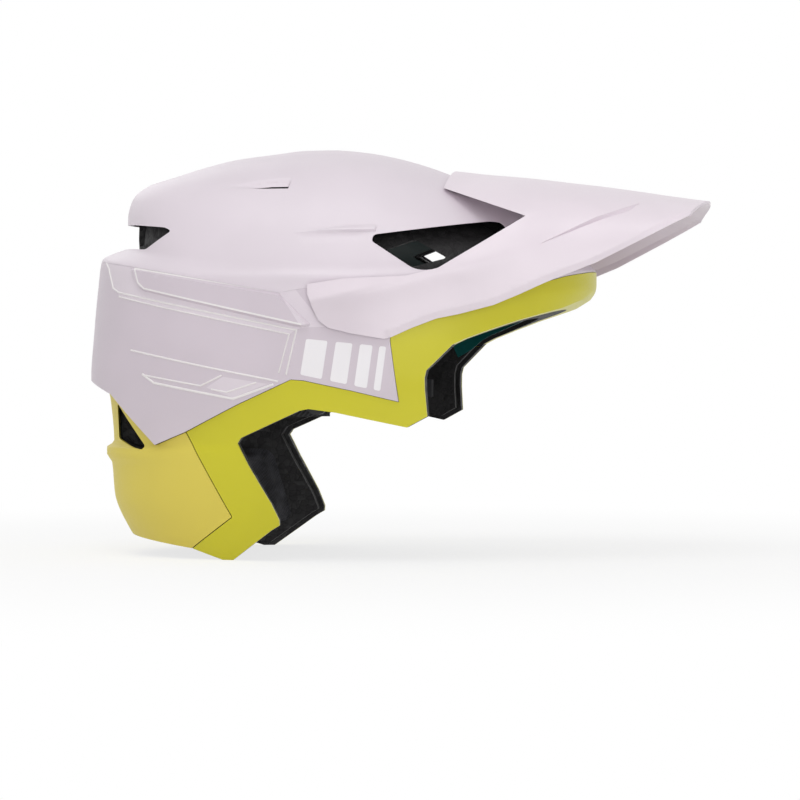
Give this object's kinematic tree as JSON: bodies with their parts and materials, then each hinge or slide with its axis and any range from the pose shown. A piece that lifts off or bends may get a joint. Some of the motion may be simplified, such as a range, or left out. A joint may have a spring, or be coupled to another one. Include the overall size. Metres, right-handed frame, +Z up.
{
  "type": "mountain bike helmet",
  "caption": "Convertible trail helmet worn without its chin bar: foam-lined shells, tilting visor, dial-drawn headband, pads, straps and chin bar sockets.",
  "frame": {"origin": "middle of the rider's head at brow level, between the two sides", "axes": "+X to the front, where the visor is; +Y to the rider's left; +Z up"},
  "size_m": [0.3513, 0.2086, 0.2288],
  "materials": {
    "shell_lilac": "satin lilac-white in-mould polycarbonate, fine grain",
    "visor_lilac": "satin lilac-white moulded visor, fine grain",
    "shell_lime": "satin yellow-green in-mould polycarbonate",
    "shell_moss": "matte dull yellow in-mould polycarbonate",
    "foam_black": "moulded expanded polystyrene beads, matte black",
    "slip_teal": "smooth low-friction sheet, dark teal",
    "elastomer_black": "matte",
    "pad_fabric": "brushed wicking knit over foam, flat sewn channels",
    "hook_fabric": "hook tape",
    "nylon_black": "moulded nylon, fine spark texture",
    "dial_rubber": "ribbed soft-touch grip",
    "acetal_grey": "moulded acetal",
    "spring_steel": "bare spring strip",
    "webbing_black": "flat woven polyester webbing"
  },
  "bodies": {
    "helmet": {"crown_shell": "shell_lilac", "belt_shell": "shell_lilac", "lower_shell": "shell_lime", "neck_shell": "shell_moss", "crown_liner": "foam_black", "neck_liner": "foam_black", "slip_liner": "slip_teal", "slip_anchors": "elastomer_black", "brow_pad": "pad_fabric", "crown_pad": "pad_fabric", "side_pad_right": "pad_fabric", "side_pad_left": "pad_fabric", "ear_pad_right": "pad_fabric", "ear_pad_left": "pad_fabric", "pad_tabs": "hook_fabric", "keel_guide": "nylon_black", "detent_spring": "spring_steel", "pivot_bush_right": "nylon_black", "pivot_bush_left": "nylon_black", "height_track": "nylon_black", "band_clip_right": "nylon_black", "band_clip_left": "nylon_black", "strap_right": "webbing_black", "strap_left": "webbing_black", "strap_divider_right": "nylon_black", "strap_divider_left": "nylon_black", "buckle_socket": "nylon_black", "buckle_tongue": "nylon_black", "strap_anchors": "nylon_black", "chinbar_socket_right": "nylon_black", "chinbar_socket_left": "nylon_black"},
    "visor": {"visor": "visor_lilac", "visor_keel": "nylon_black", "pivot_stud_right": "nylon_black", "pivot_stud_left": "nylon_black"},
    "cradle": {"cradle": "nylon_black", "cradle_cover": "nylon_black", "nape_pad": "pad_fabric"},
    "dial": {"dial": "dial_rubber", "pinion": "acetal_grey"},
    "band_right": {"band_right": "nylon_black"},
    "band_left": {"band_left": "nylon_black"}
  },
  "joints": [
    {"name": "visor_tilt", "type": "hinge", "parent": "helmet", "child": "visor", "pos_m": [0.015, 0, -0.005], "axis": [0, -1, 0], "range_deg": [0, 18]},
    {"name": "cradle_height", "type": "slide", "parent": "helmet", "child": "cradle", "axis": [0, 0, 1], "range_m": [-0.004, 0.004]},
    {"name": "dial_turn", "type": "hinge", "parent": "cradle", "child": "dial", "pos_m": [-0.095, 0, -0.038], "axis": [1, 0, 0], "range_deg": [-110, 110]},
    {"name": "band_right_draw", "type": "hinge", "parent": "cradle", "child": "band_right", "pos_m": [-0.014, 0, -0.038], "axis": [0, 0, 1], "range_deg": [-8.4, 8.4]},
    {"name": "band_left_draw", "type": "hinge", "parent": "cradle", "child": "band_left", "pos_m": [-0.014, 0, -0.038], "axis": [0, 0, 1], "range_deg": [-8.4, 8.4]}
  ],
  "couplings": [
    {"joint": "band_right_draw", "follows": "dial_turn", "ratio": 0.07441},
    {"joint": "band_left_draw", "follows": "dial_turn", "ratio": -0.07441}
  ]
}
